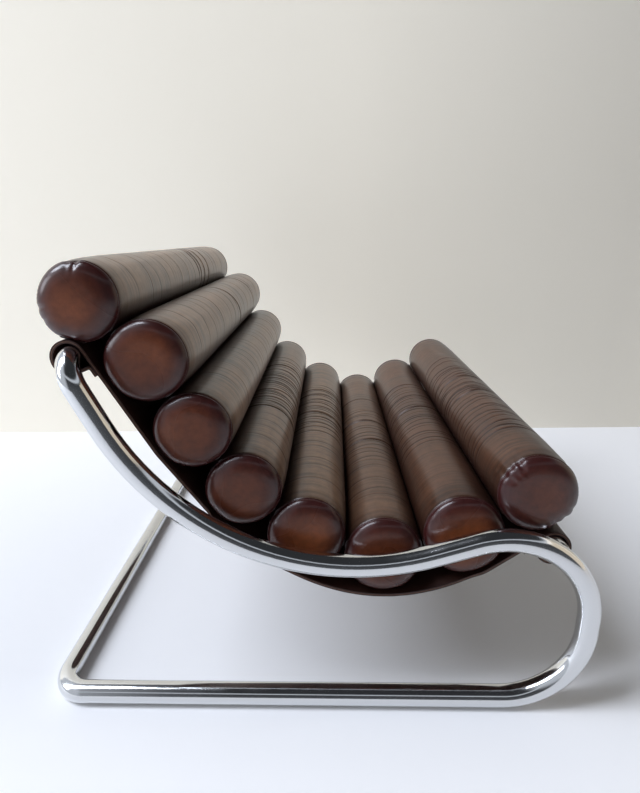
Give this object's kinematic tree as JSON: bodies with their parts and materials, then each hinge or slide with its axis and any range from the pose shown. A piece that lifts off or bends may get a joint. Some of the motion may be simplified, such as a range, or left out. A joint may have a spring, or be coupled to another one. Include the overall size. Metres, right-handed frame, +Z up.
{
  "type": "lounge chair",
  "caption": "Low lounge chair: stuffed leather rolls lie side by side on a leather sling hung between the bars of a bent chrome tube cantilever frame.",
  "frame": {"origin": "on the floor, midway along and across the bounding box", "axes": "+X to the front of the chair, +Y to the sitter's left, +Z up"},
  "size_m": [0.8764, 0.8974, 0.7097],
  "materials": {
    "chrome": "polished, mirror-like",
    "steel": "zinc-plated, satin",
    "sling_leather": "two-ply thick dark leather with a paler cut edge",
    "roll_leather": "taupe-brown leather, semi-matte with a soft sheen",
    "cap_leather": "reddish cognac leather, semi-gloss",
    "foam": "matt open-cell foam"
  },
  "bodies": {
    "root": {"right_side_tube": "chrome", "left_side_tube": "chrome", "front_bar": "chrome", "head_spigot": "steel", "rear_spigot": "steel", "front_right_stub": "steel", "front_left_stub": "steel", "head_right_set_screw": "steel", "head_left_set_screw": "steel", "rear_right_set_screw": "steel", "rear_left_set_screw": "steel", "front_right_set_screw": "steel", "front_left_set_screw": "steel", "sling": "sling_leather", "roll_1_sleeve": "roll_leather", "roll_1_core": "foam", "roll_1_right_cap": "cap_leather", "roll_1_left_cap": "cap_leather", "roll_2_sleeve": "roll_leather", "roll_2_core": "foam", "roll_2_right_cap": "cap_leather", "roll_2_left_cap": "cap_leather", "roll_3_sleeve": "roll_leather", "roll_3_core": "foam", "roll_3_right_cap": "cap_leather", "roll_3_left_cap": "cap_leather", "roll_4_sleeve": "roll_leather", "roll_4_core": "foam", "roll_4_right_cap": "cap_leather", "roll_4_left_cap": "cap_leather", "roll_5_sleeve": "roll_leather", "roll_5_core": "foam", "roll_5_right_cap": "cap_leather", "roll_5_left_cap": "cap_leather", "roll_6_sleeve": "roll_leather", "roll_6_core": "foam", "roll_6_right_cap": "cap_leather", "roll_6_left_cap": "cap_leather", "roll_7_sleeve": "roll_leather", "roll_7_core": "foam", "roll_7_right_cap": "cap_leather", "roll_7_left_cap": "cap_leather", "roll_8_sleeve": "roll_leather", "roll_8_core": "foam", "roll_8_right_cap": "cap_leather", "roll_8_left_cap": "cap_leather"}
  },
  "joints": []
}
